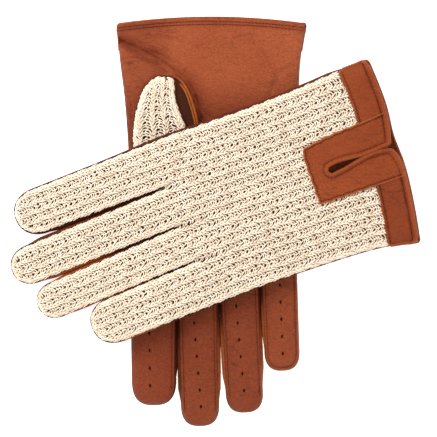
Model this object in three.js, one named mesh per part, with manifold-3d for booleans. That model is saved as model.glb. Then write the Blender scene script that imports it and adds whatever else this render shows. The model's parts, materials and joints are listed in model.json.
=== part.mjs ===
// A pair of gentlemen's driving gloves: leather palms, crochet cotton backs, short vented cuffs.
// The right glove lies palm up and the left glove lies across it, back up, both thumbs folded
// over their palms. Millimetres, +Z up, origin at the middle of the footprint on the table.
import * as THREE from "three";
import { mergeVertices } from "three/addons/utils/BufferGeometryUtils.js";
import Module from "manifold-3d";

const wasm = await Module();
wasm.setup();

// ---------------------------------------------------------------- driving dimensions
const LEATHER = 1.1; // palm leather
const CROCHET = 1.9; // cotton back
const HOLLOW = 6.0; // room for the hand between palm and back
const WALL = 1.1; // fourchettes and side walls
const SEAM = 0.3; // clearance between two sewn pieces
const DEPTH = LEATHER + HOLLOW + CROCHET; // one glove lying flat

const THUMB_LEATHER = 0.9;
const THUMB_HOLLOW = 4.4;
const THUMB_CROCHET = 1.4;
const THUMB_DEPTH = THUMB_LEATHER + THUMB_HOLLOW + THUMB_CROCHET;

const BAND_WIDTH = 18; // leather cuff band on the back
const CUFF_SAG = 4; // how far the ends of the cuff edge fall behind its middle
const BINDING = 2; // rolled edging of the vent
const VENT_LENGTH = 43.5;
const HINGE_GAP = 2; // between the two halves of a finger
const ROOT_OVERLAP = 14; // how far a finger's own outline runs back into the hand
const LEFT_Z = DEPTH + SEAM + THUMB_DEPTH + SEAM; // palm face of the upper glove
const FINGER_DROOP = THREE.MathUtils.degToRad(4.5); // upper glove's finger ends hang a little
const ARC_STEPS = 8;

// A glove is drawn with x towards its thumb, y from the cuff to the fingertips and z from the
// palm face to the back. Each finger: middle of its root, half width, lean away from the thumb
// in degrees, fork height, the line that it bends on, and its tip.
const RIGHT = {
  name: "right",
  bend: 0,
  littleEdge: [[-49.2, 133], [-50.2, 90], [-51.2, 45], [-52.4, 24], [-55.8, 2.8]],
  fingers: [
    { name: "index", root: 36.4, half: 13.5, lean: 0.4, fork: 141, bends: 199, tip: 232.4 },
    { name: "middle", root: 10.4, half: 11.7, lean: 1.4, fork: 140, bends: 190, tip: 245 },
    { name: "ring", root: -14.0, half: 11.5, lean: 2.8, fork: 139, bends: 183, tip: 237 },
    { name: "little", root: -38.4, half: 10.8, lean: 2.2, fork: 133, bends: 170, tip: 211.8 },
  ],
};
const LEFT = {
  name: "left",
  bend: 0.0002,
  littleEdge: [[-54.8, 131], [-53.2, 101], [-52.3, 51], [-52.8, 25], [-55.8, 2.8]],
  fingers: [
    { name: "index", root: 35.9, half: 14.2, lean: 1.9, fork: 139, bends: 184, tip: 232.6 },
    { name: "middle", root: 9.7, half: 11.8, lean: 3.1, fork: 138, bends: 187, tip: 243.4 },
    { name: "ring", root: -14.0, half: 11.1, lean: 4.1, fork: 137, bends: 183, tip: 234.4 },
    { name: "little", root: -40.0, half: 14.2, lean: 3.2, fork: 131, bends: 168, tip: 206.4 },
  ],
};
const THUMB_EDGE = [[57.4, 3.6], [55.8, 24], [52.8, 49], [50.6, 80], [49.9, 112], [49.9, 139]];
const THUMB_OUTLINE = [
  [31.5, 35.5], [38, 36.8], [43.6, 44], [47, 56], [48, 72], [46.4, 92], [41, 106],
  [31.5, 111], [22, 106], [16.8, 92], [15.4, 76], [17, 62], [21.4, 50], [24.4, 39],
];
const THUMB_PIVOT = [31.5, 46];
const THUMB_HOLE = { x: 32, y: 50, rx: 7.5, ry: 10 };
const WELT_PATH = [[20, 40], [16.4, 46], [12.6, 56], [10.6, 66], [11, 78]];
const WELT_WIDTH = 2;
const WELT_HEIGHT = 1.5;
const PATCH = [[23.5, -6], [17.1, 51.6], [14.4, 55.2], [-17.2, 53.3], [-15, -6]];
const VENT_MOUTH_X = 4.4;
const VENT_HALF = 1.3; // half width of the slit
const VENT_END_HALF = 1.9; // half width of its keyhole end
const VENT_MOUTH_HALF = 4.2; // half width where it flares into the cuff edge

// Where each glove lies: the middle of its cuff edge, and the way its fingers point.
const RIGHT_AT = [-1.5, 122.5];
const LEFT_AT = [109.8, 42.7];
const LEFT_TURN = THREE.MathUtils.degToRad(90 + 15.9);

// ---------------------------------------------------------------- materials
const palmLeather = new THREE.MeshStandardMaterial({ color: 0x9a4b2b, roughness: 0.55, metalness: 0 });
const bandLeather = new THREE.MeshStandardMaterial({ color: 0xa4532f, roughness: 0.5, metalness: 0 });
const sideLeather = new THREE.MeshStandardMaterial({ color: 0x7d3a20, roughness: 0.6, metalness: 0 });
const crochetCotton = new THREE.MeshStandardMaterial({ color: 0xf0e2cb, roughness: 0.9, metalness: 0 });

// ---------------------------------------------------------------- solids
function toSolid(geometry) {
  geometry.deleteAttribute("normal");
  geometry.deleteAttribute("uv");
  const merged = mergeVertices(geometry, 1e-4);
  const mesh = new wasm.Mesh({
    numProp: 3,
    vertProperties: new Float32Array(merged.attributes.position.array),
    triVerts: new Uint32Array(merged.index.array),
  });
  return new wasm.Manifold(mesh);
}

function toGeometry(solid) {
  const mesh = solid.getMesh();
  const geometry = new THREE.BufferGeometry();
  geometry.setAttribute("position", new THREE.BufferAttribute(mesh.vertProperties, 3));
  geometry.setIndex(new THREE.BufferAttribute(mesh.triVerts, 1));
  const faceted = geometry.toNonIndexed();
  faceted.computeVertexNormals();
  return faceted;
}

function prism(points, low, high) {
  const shape = new THREE.Shape(points);
  const geometry = new THREE.ExtrudeGeometry(shape, { depth: high - low, bevelEnabled: false });
  geometry.translate(0, 0, low);
  return toSolid(geometry);
}

function join(solids) {
  return solids.reduce((whole, solid) => whole.add(solid));
}

// ---------------------------------------------------------------- outlines
function through(pairs, steps) {
  return new THREE.SplineCurve(pairs.map(([x, y]) => new THREE.Vector2(x, y))).getPoints(steps);
}

function closedOutline(pairs, steps) {
  const points = pairs.map(([x, y]) => new THREE.Vector3(x, y, 0));
  const curve = new THREE.CatmullRomCurve3(points, true);
  return curve.getPoints(steps).slice(0, -1).map((p) => new THREE.Vector2(p.x, p.y));
}

function area(points) {
  return THREE.ShapeUtils.area(points);
}

// The same outline moved inwards (or outwards, for a negative distance).
function inset(points, distance) {
  const turn = area(points) > 0 ? 1 : -1;
  return points.map((point, i) => {
    const before = points[(i + points.length - 1) % points.length];
    const after = points[(i + 1) % points.length];
    const along = after.clone().sub(before).normalize();
    const inwards = new THREE.Vector2(-along.y, along.x).multiplyScalar(turn);
    return point.clone().addScaledVector(inwards, distance);
  });
}

// Fingers of the upper glove lie in a slight curve away from the thumb.
function bent(glove, x, y) {
  return new THREE.Vector2(x - glove.bend * y * y, y);
}

function handOutline(glove, inwards, mouth) {
  const thumbEdge = through(THUMB_EDGE, 7);
  const littleEdge = through(glove.littleEdge, 7);
  const forks = glove.fingers.slice(1).map((finger, i) => {
    const before = glove.fingers[i];
    const gap = (before.root - before.half + finger.root + finger.half) / 2;
    return new THREE.Vector2(gap, (before.fork + finger.fork) / 2 - inwards);
  });
  const cuff = [];
  const from = littleEdge.at(-1);
  const to = thumbEdge[0];
  for (let i = 1; i < ARC_STEPS; i += 1) {
    const share = i / ARC_STEPS;
    const sag = CUFF_SAG * (2 * share - 1) ** 2;
    cuff.push(new THREE.Vector2(THREE.MathUtils.lerp(from.x, to.x, share), sag));
  }
  const sideIn = (point, way) => new THREE.Vector2(point.x - way * inwards, point.y);
  const outline = [
    ...thumbEdge.map((point) => sideIn(point, 1)),
    ...forks,
    ...littleEdge.map((point) => sideIn(point, -1)),
  ];
  if (mouth) {
    outline.push(new THREE.Vector2(from.x + inwards, -8), new THREE.Vector2(to.x - inwards, -8));
  } else {
    outline.push(...cuff);
  }
  return outline.map((point) => bent(glove, point.x, point.y));
}

// Where a finger starts in its glove, and the way it points.
function fingerFrame(glove, finger) {
  const start = bent(glove, finger.root, finger.fork - ROOT_OVERLAP);
  const curve = Math.atan(2 * glove.bend * finger.fork);
  const lean = THREE.MathUtils.degToRad(finger.lean) + curve;
  return { start, lean, tip: finger.tip - start.y, bends: finger.bends - start.y };
}

// A finger's outline in its own frame, from one height to another, with a round end at its tip.
function fingerOutline(finger, frame, from, to, inwards) {
  const taper = 0.06;
  const width = (y) => finger.half * (1 - taper * (y / frame.tip)) - inwards;
  if (to < frame.tip) {
    return [
      new THREE.Vector2(-width(from), from), new THREE.Vector2(width(from), from),
      new THREE.Vector2(width(to), to), new THREE.Vector2(-width(to), to),
    ];
  }
  const cap = finger.half * 1.15;
  const shoulder = frame.tip - cap;
  const points = [new THREE.Vector2(-width(from), from), new THREE.Vector2(width(from), from)];
  for (let i = 0; i <= ARC_STEPS; i += 1) {
    const angle = (Math.PI * i) / ARC_STEPS;
    const across = width(shoulder) * Math.cos(angle);
    points.push(new THREE.Vector2(across, shoulder + (cap - inwards) * Math.sin(angle)));
  }
  return points;
}

function inHand(frame, points) {
  return points.map((point) => {
    const turned = point.clone().rotateAround(new THREE.Vector2(0, 0), frame.lean);
    return turned.add(frame.start);
  });
}

// The vent's slit: keyhole end, straight sides, and lips that curl away at the cuff edge.
function ventOutline(grow) {
  const axis = (y) => VENT_MOUTH_X * (1 - y / VENT_LENGTH);
  const sides = [[-8, VENT_MOUTH_HALF + 2], [2, VENT_MOUTH_HALF], [6, VENT_HALF + 0.9], [12, VENT_HALF]];
  const right = sides.map(([y, half]) => new THREE.Vector2(axis(y) + half + grow, y));
  const left = sides.map(([y, half]) => new THREE.Vector2(axis(y) - half - grow, y)).reverse();
  const end = [];
  for (let i = 0; i <= ARC_STEPS; i += 1) {
    const angle = (Math.PI * i) / ARC_STEPS;
    const across = (VENT_END_HALF + grow) * Math.cos(angle);
    end.push(new THREE.Vector2(across, VENT_LENGTH + (VENT_END_HALF + grow) * Math.sin(angle)));
  }
  return [...right, ...end, ...left];
}

// ---------------------------------------------------------------- a glove
function makeGlove(glove, side) {
  const group = new THREE.Group();
  const mirrored = (points) => points.map((point) => new THREE.Vector2(side * point.x, point.y));
  const plate = (points, low, high) => prism(mirrored(points), low, high);

  function add(parent, name, solid, material) {
    const mesh = new THREE.Mesh(toGeometry(solid), material);
    mesh.name = `${glove.name}_${name}`;
    parent.add(mesh);
  }

  const frames = glove.fingers.map((finger) => fingerFrame(glove, finger));

  // The hand with the near half of every finger, as one flat layer.
  function layer(low, high) {
    const near = glove.fingers.map((finger, i) => {
      const outline = fingerOutline(finger, frames[i], 0, frames[i].bends - HINGE_GAP / 2, 0);
      return plate(inHand(frames[i], outline), low, high);
    });
    return join([plate(handOutline(glove, 0, false), low, high), ...near]);
  }

  function hollow(low, high) {
    const near = glove.fingers.map((finger, i) => {
      const outline = fingerOutline(finger, frames[i], 2, frames[i].bends + 6, WALL);
      return plate(inHand(frames[i], outline), low, high);
    });
    return join([plate(handOutline(glove, WALL, true), low, high), ...near]);
  }

  // ---- hand: palm leather with its thumb hole
  const ellipse = new THREE.EllipseCurve(THUMB_HOLE.x, THUMB_HOLE.y, THUMB_HOLE.rx, THUMB_HOLE.ry);
  const hole = ellipse.getPoints(2 * ARC_STEPS).slice(0, -1);
  const cut = 1; // a cutter runs past both faces by this much
  const palm = layer(0, LEATHER).subtract(plate(hole, -cut, LEATHER + cut));
  add(group, "palm_leather", palm, palmLeather);

  // ---- hand: side walls and fourchettes, which stand between palm and back
  const wallLow = LEATHER + SEAM;
  const wallHigh = DEPTH - CROCHET - SEAM;
  const walls = layer(wallLow, wallHigh).subtract(hollow(wallLow - cut, wallHigh + cut)).decompose();
  const middleOf = (solid) => {
    const box = solid.boundingBox();
    return (side * (box.min[0] + box.max[0])) / 2;
  };
  walls.sort((a, b) => middleOf(b) - middleOf(a));
  const wallNames = [
    "thumb_side_wall", "fourchette_index_middle", "fourchette_middle_ring",
    "fourchette_ring_little", "little_side_wall",
  ];
  walls.forEach((wall, i) => add(group, wallNames[i], wall, sideLeather));

  // ---- hand: crochet back, cuff band, vent patch and its binding
  const backLow = DEPTH - CROCHET;
  const back = layer(backLow, DEPTH);
  const cutLow = backLow - cut;
  const cutHigh = DEPTH + cut;
  const patchArea = PATCH.map(([x, y]) => bent(glove, x, y));
  const patchCut = plate(inset(patchArea, -SEAM), cutLow, cutHigh);
  const strip = (low, high) => {
    const wide = 80;
    const corners = [[-wide, low], [wide, low], [wide, high], [-wide, high]];
    return plate(corners.map(([x, y]) => new THREE.Vector2(x, y)), cutLow, cutHigh);
  };
  const crochet = back.subtract(strip(-10, BAND_WIDTH + SEAM)).subtract(patchCut);
  add(group, "crochet_back", crochet, crochetCotton);

  const bands = back.intersect(strip(-10, BAND_WIDTH)).subtract(patchCut).decompose();
  bands.sort((a, b) => middleOf(b) - middleOf(a));
  add(group, "cuff_band_thumb_side", bands[0], bandLeather);
  add(group, "cuff_band_little_side", bands[1], bandLeather);

  const ventCut = plate(ventOutline(BINDING + SEAM), cutLow, cutHigh);
  const patch = back.intersect(plate(patchArea, cutLow, cutHigh)).subtract(ventCut);
  add(group, "vent_patch", patch, bandLeather);
  const edging = plate(ventOutline(BINDING), cutLow, cutHigh);
  const binding = back.intersect(edging).subtract(plate(ventOutline(0), cutLow, cutHigh));
  add(group, "vent_binding", binding, bandLeather);

  // ---- hand: welt around the thumb hole, on the palm face
  const weltLine = through(WELT_PATH, ARC_STEPS);
  const offsetLine = (distance) => weltLine.map((point, i) => {
    const next = weltLine[Math.min(i + 1, weltLine.length - 1)];
    const last = weltLine[Math.max(i - 1, 0)];
    const along = next.clone().sub(last).normalize();
    return point.clone().add(new THREE.Vector2(-along.y, along.x).multiplyScalar(distance));
  });
  const weltArea = [...offsetLine(WELT_WIDTH / 2), ...offsetLine(-WELT_WIDTH / 2).reverse()];
  add(group, "thumb_welt", plate(weltArea, -SEAM - WELT_HEIGHT, -SEAM), bandLeather);

  // ---- fingers: the far half of each, which turns on the line that the finger bends on
  glove.fingers.forEach((finger, i) => {
    const frame = frames[i];
    const start = HINGE_GAP / 2;
    const outline = (from, inwards) => {
      const full = fingerOutline(finger, frame, frame.bends + from, frame.tip, inwards);
      return full.map((point) => new THREE.Vector2(point.x, point.y - frame.bends));
    };
    const far = new THREE.Group();
    const [hinge] = inHand(frame, [new THREE.Vector2(0, frame.bends)]);
    far.position.set(side * hinge.x, hinge.y, DEPTH);
    far.rotation.set(glove === LEFT ? -FINGER_DROOP : 0, 0, side * frame.lean, "ZXY");
    const shifted = (points, low, high) => plate(points, low - DEPTH, high - DEPTH);
    add(far, `${finger.name}_leather`, shifted(outline(start, 0), 0, LEATHER), palmLeather);
    add(far, `${finger.name}_crochet`, shifted(outline(start, 0), backLow, DEPTH), crochetCotton);
    const ring = shifted(outline(start, 0), wallLow, wallHigh);
    const room = shifted(outline(start - 6, WALL), wallLow - cut, wallHigh + cut);
    add(far, `${finger.name}_fourchette`, ring.subtract(room), sideLeather);
    group.add(far);
  });

  // ---- thumb: a tube of its own, folded over the palm and sewn round the thumb hole
  const thumb = new THREE.Group();
  thumb.position.set(side * THUMB_PIVOT[0], THUMB_PIVOT[1], 0);
  const pivot = new THREE.Vector2(...THUMB_PIVOT);
  const thumbOutline = closedOutline(THUMB_OUTLINE, 28).map((point) => point.sub(pivot));
  const thumbHole = hole.map((point) => point.clone().sub(pivot));
  const outside = -SEAM - THUMB_DEPTH; // the crochet face, away from the palm
  const inner = -SEAM - THUMB_LEATHER;
  const mirroredHole = plate(thumbHole, inner - cut, cut);
  const thumbLeather = plate(thumbOutline, inner, -SEAM).subtract(mirroredHole);
  add(thumb, "thumb_leather", thumbLeather, palmLeather);
  add(thumb, "thumb_crochet", plate(thumbOutline, outside, outside + THUMB_CROCHET), crochetCotton);
  const low = outside + THUMB_CROCHET + SEAM;
  const high = inner - SEAM;
  const thumbWall = plate(thumbOutline, low, high);
  const thumbRoom = plate(inset(thumbOutline, WALL), low - cut, high + cut);
  add(thumb, "thumb_side", thumbWall.subtract(thumbRoom), sideLeather);
  group.add(thumb);
  return group;
}

// ---------------------------------------------------------------- the pair as it lies
const pair = new THREE.Group();

const right = makeGlove(RIGHT, -1);
right.rotation.set(0, Math.PI, Math.PI, "ZYX");
right.position.set(RIGHT_AT[0], RIGHT_AT[1], DEPTH);
pair.add(right);

const left = makeGlove(LEFT, 1);
left.rotation.z = LEFT_TURN;
left.position.set(LEFT_AT[0], LEFT_AT[1], LEFT_Z);
pair.add(left);

export default pair;
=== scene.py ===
"""Blender looks for the pair of driving gloves: real crochet yarn, leather panels, seams and stitches.

Each glove is drawn flat, in millimetres: u towards its thumb, v from the cuff to the fingertips and
w from the palm face (0) to the back (DEPTH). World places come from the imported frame's joints.
"""
import json
import math

import bpy
import numpy as np
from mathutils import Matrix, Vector, noise
from mathutils.geometry import delaunay_2d_cdt


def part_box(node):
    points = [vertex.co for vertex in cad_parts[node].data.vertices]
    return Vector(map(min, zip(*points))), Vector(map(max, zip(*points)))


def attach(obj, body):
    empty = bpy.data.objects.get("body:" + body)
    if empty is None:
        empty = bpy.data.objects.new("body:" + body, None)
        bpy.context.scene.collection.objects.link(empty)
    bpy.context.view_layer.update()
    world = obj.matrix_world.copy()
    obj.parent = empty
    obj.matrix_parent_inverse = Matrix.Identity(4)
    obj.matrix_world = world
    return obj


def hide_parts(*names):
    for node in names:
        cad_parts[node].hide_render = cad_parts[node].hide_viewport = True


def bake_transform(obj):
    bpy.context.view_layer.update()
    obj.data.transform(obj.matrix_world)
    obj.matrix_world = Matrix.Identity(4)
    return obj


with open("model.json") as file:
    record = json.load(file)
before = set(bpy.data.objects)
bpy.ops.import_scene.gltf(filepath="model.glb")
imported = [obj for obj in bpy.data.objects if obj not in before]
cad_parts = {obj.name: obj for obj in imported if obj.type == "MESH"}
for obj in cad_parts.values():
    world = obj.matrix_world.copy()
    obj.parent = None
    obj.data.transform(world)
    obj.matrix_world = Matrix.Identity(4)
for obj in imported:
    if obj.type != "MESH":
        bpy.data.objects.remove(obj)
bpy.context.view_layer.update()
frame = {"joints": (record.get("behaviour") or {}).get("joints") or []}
JOINTS = {joint["name"]: joint for joint in frame["joints"]}
MM = 0.001
rng = np.random.default_rng(7)

# ------------------------------------------------------------------ driving dimensions, as in the CAD
DEPTH = 9.0
LEATHER = 1.1
PALM_SEAM = 2.8       # height of the seam between palm leather and side strip
BACK_SEAM = 5.2       # height of the seam between side strip and crochet back
BAND_WIDTH = 18.0
CUFF_SAG = 4.0
ROOT_OVERLAP = 14.0
THUMB_PIVOT = (31.5, 46.0)
LEFT_TURN = 90 + 15.9
FINGER_TAPER = 0.06
FINGER_DROOP = math.radians(4.5)
VENT_LENGTH = 43.5
VENT_MOUTH_X = 5.2
VENT_END_HALF = 2.3

# ------------------------------------------------------------------ dimensions of the looks
ROLL = 8.5            # how far in from its edge a glove's skin has levelled out
CORNER_INSET = 1.2    # how far the side strips draw in at the rounded corners of the cuff
CAP_SHARE = 1.15      # length of a finger's round end, in half widths
TIP_POWER = {"right": 0.74, "left": 0.90}      # below 1 the fingertips are squarer than an ellipse
PALM_FRINGE = 1.3     # how far the upper glove's palm leather shows past its crochet
FOLD_REACH = 12.0     # a finger's fold line is taken this far to each side of it
FORK_DROP = 0.8       # how far a slit's bottom lies below the two finger sides it joins
CUFF_DENT = 1.8       # how far the upper glove's cuff draws back beside its vent, and where
DENT_X, DENT_REACH = 10, 13
PALM_LIP = 0.8        # how far the upper glove's palm stands out below its back at the cuff
FLAT_BACK = 0.8       # how much thinner the lower glove is, pressed on the table, and again at its cuff
FLAT_CUFF = 1.6
CUFF_SETTLE = 2.2     # how far the upper glove settles at its cuff and at its little side
LITTLE_SETTLE = 1.6
THUMB_EDGE = [(57.4, 3.6), (55.8, 24), (52.8, 49), (50.6, 80), (49.9, 112), (49.9, 139)]
THUMB_OUTLINE = [(29, 34.9), (33.6, 35.2), (38, 38), (42.6, 44), (45, 51.5), (47.2, 60), (48.2, 74),
                 (46.4, 92), (41, 106), (31.5, 111), (22, 106), (16.8, 92), (15.0, 76), (16, 66),
                 (19.8, 56.5), (22.5, 48), (23.0, 38.5), (25.2, 35.3)]
WELT_PATH = [(23.0, 35.6), (20.4, 37.6), (16.2, 43.3), (13.2, 51.1), (10.8, 59.5), (9.9, 66), (9.8, 80)]
PATCH = [(23.5, -6), (17.1, 51.6), (14.4, 55.2), (-17.2, 53.3), (-15, -6)]

# How far each side of each finger's skins stands out from the CAD outline: thumb side, little side.
# FILL closes the gap to the next finger, so that a slit shows leather at its bottom.
FILL = 1.7
GROW = {
    "right": {"palm": [(0.0, 0.0), (0.0, 0.0), (0.0, 0.0), (0.0, 0.0)],
              "back": [(0.0, FILL), (FILL, FILL), (FILL, FILL), (FILL, 0.0)]},
    "left": {"palm": [(0.3, FILL), (FILL, FILL), (FILL, FILL), (FILL, 0.2)],
             "back": [(-0.2, -0.3), (0.0, 0.2), (0.2, 0.1), (0.05, -0.2)]},
}

# name, middle of the root, half width, lean in degrees, fork height, bend line, tip, crochet rows
FINGER_KEYS = ("name", "root", "half", "lean", "fork", "bends", "tip", "rows")
GLOVES = {
    "right": {
        "bend": 0.0,
        "little_edge": [(-49.2, 133), (-50.2, 90), (-51.2, 45), (-52.4, 24), (-55.8, 2.8)],
        "fingers": [("index", 36.4, 13.5, 0.4, 141, 199, 232.4, 5),
                    ("middle", 10.4, 11.7, 1.4, 140, 190, 245, 4),
                    ("ring", -14.0, 11.5, 2.8, 139, 183, 237, 4),
                    ("little", -38.4, 10.8, 2.2, 133, 170, 211.8, 4)],
    },
    "left": {
        "bend": 0.0002,
        "little_edge": [(-54.8, 131), (-53.2, 101), (-52.3, 51), (-52.8, 25), (-55.8, 2.8)],
        "fingers": [("index", 35.9, 14.2, 1.9, 139, 184, 232.6, 5),
                    ("middle", 9.7, 11.8, 3.1, 138, 187, 243.4, 4),
                    ("ring", -14.0, 11.1, 4.1, 137, 183, 234.4, 4),
                    ("little", -40.0, 14.2, 3.2, 131, 168, 206.4, 5)],
    },
}


# ------------------------------------------------------------------ small geometry helpers
def smooth(x, low, high):
    t = np.clip((np.asarray(x, float) - low) / (high - low), 0, 1)
    return t * t * (3 - 2 * t)


def hump(distance, reach):
    """1 on a line, falling off to nothing at about twice the reach."""
    return np.exp(-(distance / reach) ** 2)


def spline(points, step=2.0, closed=False):
    """A Catmull-Rom curve through the points, sampled about every step millimetres."""
    p = np.array(points, float)
    n = len(p)
    out = []
    for i in range(n if closed else n - 1):
        at = [(i + k) % n if closed else min(max(i + k, 0), n - 1) for k in (-1, 0, 1, 2)]
        a, b, c, d = p[at]
        count = max(2, int(np.linalg.norm(c - b) / step))
        t = (np.arange(count) / count)[:, None]
        out.append(0.5 * (2 * b + (c - a) * t + (2 * a - 5 * b + 4 * c - d) * t ** 2
                          + (3 * b - a - 3 * c + d) * t ** 3))
    if not closed:
        out.append(p[-1:])
    return np.concatenate(out)


def path_lengths(path):
    return np.r_[0, np.cumsum(np.linalg.norm(np.diff(path, axis=0), axis=1))]


def at_lengths(values, lengths, s):
    """Rows of values, one for each point of a path, read at lengths s along it."""
    return np.stack([np.interp(s, lengths, column) for column in values.T], axis=-1)


def resample(points, step, closed=False):
    """The same polyline with evenly spaced points."""
    p = np.array(points, float)
    if closed:
        p = np.vstack([p, p[:1]])
    lengths = path_lengths(p)
    count = max(3, int(round(lengths[-1] / step)))
    at = np.linspace(0, lengths[-1], count + 1)
    return at_lengths(p, lengths, at[:-1] if closed else at)


def leftward(line):
    """The unit direction to the left of a line at each of its points."""
    along = np.gradient(line, axis=0)
    along /= np.linalg.norm(along, axis=1, keepdims=True) + 1e-9
    return np.stack([-along[:, 1], along[:, 0]], axis=1)


def inside(points, polygon):
    x, y = points[:, 0], points[:, 1]
    result = np.zeros(len(points), bool)
    for (x0, y0), (x1, y1) in zip(polygon, np.roll(polygon, -1, axis=0)):
        if y0 != y1:
            result ^= ((y0 > y) != (y1 > y)) & (x < (x1 - x0) * (y - y0) / (y1 - y0) + x0)
    return result


def distance_to(points, line, closed=False):
    """Shortest distance from each point to a polyline."""
    a = np.array(line, float)
    b = np.roll(a, -1, axis=0) if closed else a[1:]
    best = np.full(len(points), 1e9)
    for p0, p1 in zip(a, b):
        d = p1 - p0
        size = d @ d
        if size < 1e-12:
            continue
        t = np.clip(((points - p0) @ d) / size, 0, 1)
        off = points - p0 - t[:, None] * d
        best = np.minimum(best, (off * off).sum(1))
    return np.sqrt(best)


def rounded(polygon, below=9.0):
    """A closed polygon with its corners near the cuff softened."""
    window, step = 7, 0.6
    fine = resample(polygon, step, closed=True)
    around = [np.roll(fine, k, axis=0) for k in range(-(window // 2), window // 2 + 1)]
    part = (1 - smooth(fine[:, 1], below - 2, below))[:, None]
    return fine * (1 - part) + np.mean(around, axis=0) * part


def value_noise(points, scale, seed):
    """Smooth noise in -1..1 at plan points, with features of about scale millimetres."""
    return np.array([noise.noise(Vector((x / scale, y / scale, seed * 7.31))) for x, y in points])


# ------------------------------------------------------------------ mesh helpers
def mesh_object(name, verts, faces, material):
    """verts in metres, world; faces is a list of index arrays, each all triangles or all quads."""
    mesh = bpy.data.meshes.new(name)
    mesh.vertices.add(len(verts))
    mesh.vertices.foreach_set("co", np.asarray(verts, np.float32).ravel())
    faces = [np.asarray(f, np.int32) for f in faces if len(f)]
    loops = np.concatenate([f.ravel() for f in faces])
    sizes = np.concatenate([np.full(len(f), f.shape[1], np.int32) for f in faces])
    mesh.loops.add(len(loops))
    mesh.loops.foreach_set("vertex_index", loops)
    mesh.polygons.add(len(sizes))
    mesh.polygons.foreach_set("loop_start", np.r_[0, np.cumsum(sizes)[:-1]].astype(np.int32))
    mesh.polygons.foreach_set("loop_total", sizes)
    mesh.polygons.foreach_set("use_smooth", np.ones(len(sizes), bool))
    mesh.update(calc_edges=True)
    mesh.validate()
    piece = bpy.data.objects.new(name, mesh)
    bpy.context.scene.collection.objects.link(piece)
    mesh.materials.append(material)
    return piece


def tubes(name, curves, radii, sides, material):
    """Closed tubes along many curves at once. curves is (strands, points, 3); radii are in mm."""
    c = np.asarray(curves, float)
    n, k, _ = c.shape
    along = np.gradient(c, axis=1)
    along /= np.linalg.norm(along, axis=2, keepdims=True) + 1e-12
    up = np.zeros_like(along)
    up[..., 2] = 1.0
    up[np.abs(along[..., 2]) > 0.9] = (1.0, 0.0, 0.0)
    across = np.cross(up, along)
    across /= np.linalg.norm(across, axis=2, keepdims=True) + 1e-12
    lift = np.cross(along, across)
    angle = 2 * np.pi * np.arange(sides) / sides
    ring = (across[:, :, None] * np.cos(angle)[None, None, :, None]
            + lift[:, :, None] * np.sin(angle)[None, None, :, None])
    radii = np.broadcast_to(np.asarray(radii, float) * MM, (n, k))
    verts = (c[:, :, None] + ring * radii[:, :, None, None]).reshape(-1, 3)
    base = (np.arange(n)[:, None, None] * k + np.arange(k - 1)[None, :, None]) * sides
    i = np.arange(sides)[None, None, :]
    j = (i + 1) % sides
    quads = np.stack([base + i, base + j, base + sides + j, base + sides + i], axis=-1).reshape(-1, 4)
    first = np.arange(n)[:, None] * k * sides
    order = np.arange(sides)[None, :]
    caps = [first + order[:, ::-1], first + (k - 1) * sides + order]
    return mesh_object(name, verts, [quads, *caps], material)


# ------------------------------------------------------------------ materials
class Tree:
    """A material's node tree, built by short calls that hand on one output of each new node."""

    def __init__(self, name):
        self.material = bpy.data.materials.new(name)
        self.material.use_nodes = True
        self.nodes = self.material.node_tree.nodes

    def put(self, socket, value):
        """Link the output given as a value to a socket, or set the socket to a plain value."""
        if isinstance(value, bpy.types.NodeSocket):
            self.material.node_tree.links.new(value, socket)
        else:
            socket.default_value = value

    def add(self, kind, out=0, **values):
        """A new node. An underscore stands for the space in an input's name."""
        node = self.nodes.new(f"ShaderNode{kind}")
        for key, value in values.items():
            label = key.replace("_", " ")
            if label in node.inputs:
                self.put(node.inputs[label], value)
            else:
                setattr(node, key, value)
        return node.outputs[out]

    def place(self):
        return self.add("TexCoord", "Object")

    def math(self, operation, *values):
        node = self.nodes.new("ShaderNodeMath")
        node.operation = operation
        for socket, value in zip(node.inputs, values):
            self.put(socket, value)
        return node.outputs[0]

    def mix(self, factor, a, b, blend="MIX"):
        node = self.nodes.new("ShaderNodeMix")
        node.data_type = "RGBA"
        node.blend_type = blend
        for index, value in ((0, factor), (6, a), (7, b)):
            self.put(node.inputs[index], value)
        return node.outputs[2]

    def ramp(self, value, dark, light, low=0.0, high=1.0):
        node = self.nodes.new("ShaderNodeValToRGB")
        self.put(node.inputs["Fac"], value)
        for element, at, colour in zip(node.color_ramp.elements, (low, high), (dark, light)):
            element.position = at
            element.color = (*colour, 1)
        return node.outputs["Color"]

    def remap(self, value, low, high, to_low, to_high):
        return self.add("MapRange", Value=value, From_Min=low, From_Max=high, To_Min=to_low, To_Max=to_high)

    def surface(self, **values):
        """Set the surface shader's sockets and return the finished material."""
        for key, value in values.items():
            self.put(self.nodes["Principled BSDF"].inputs[key.replace("_", " ")], value)
        return self.material


WRINKLE_PAINTED_SHADING = 0.66   # how dark the painted shade is along the leather's fine wrinkles


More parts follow.
